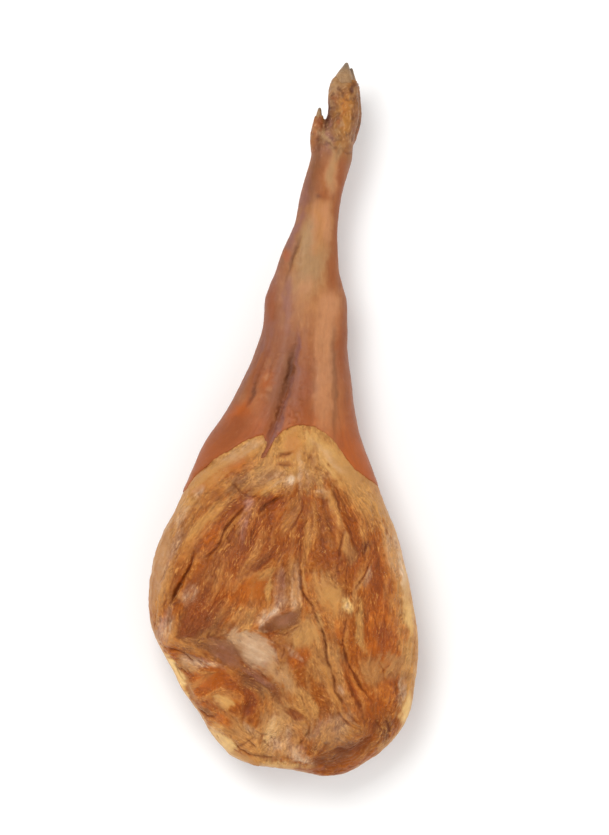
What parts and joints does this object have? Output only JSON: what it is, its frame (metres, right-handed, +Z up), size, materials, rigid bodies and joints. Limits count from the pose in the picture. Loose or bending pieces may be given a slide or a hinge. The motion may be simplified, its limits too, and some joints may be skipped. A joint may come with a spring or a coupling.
{
  "type": "cured ham",
  "caption": "Whole dry-cured ham on the bone with its foot left on: a flat teardrop body with a trimmed, creased face, a tapering shank, and a foot with claws and dewclaws",
  "frame": {"origin": "on the ground plane, under the middle of the ham's length and width as it lies with its trimmed face up", "axes": "+Y runs from the butt to the claws, +Z is up out of the trimmed face, and -X is the side of the heel's point"},
  "size_m": [0.2956, 0.78, 0.1311],
  "materials": {
    "lean": "dried, waxy lean of the trimmed face",
    "skin": "satin, wrinkled cured skin",
    "fat": "waxy yellow fat",
    "bone": "matte dried bone and gristle",
    "horn": "dull horn of the claws"
  },
  "bodies": {
    "root": {"ham": "lean"}
  },
  "joints": []
}
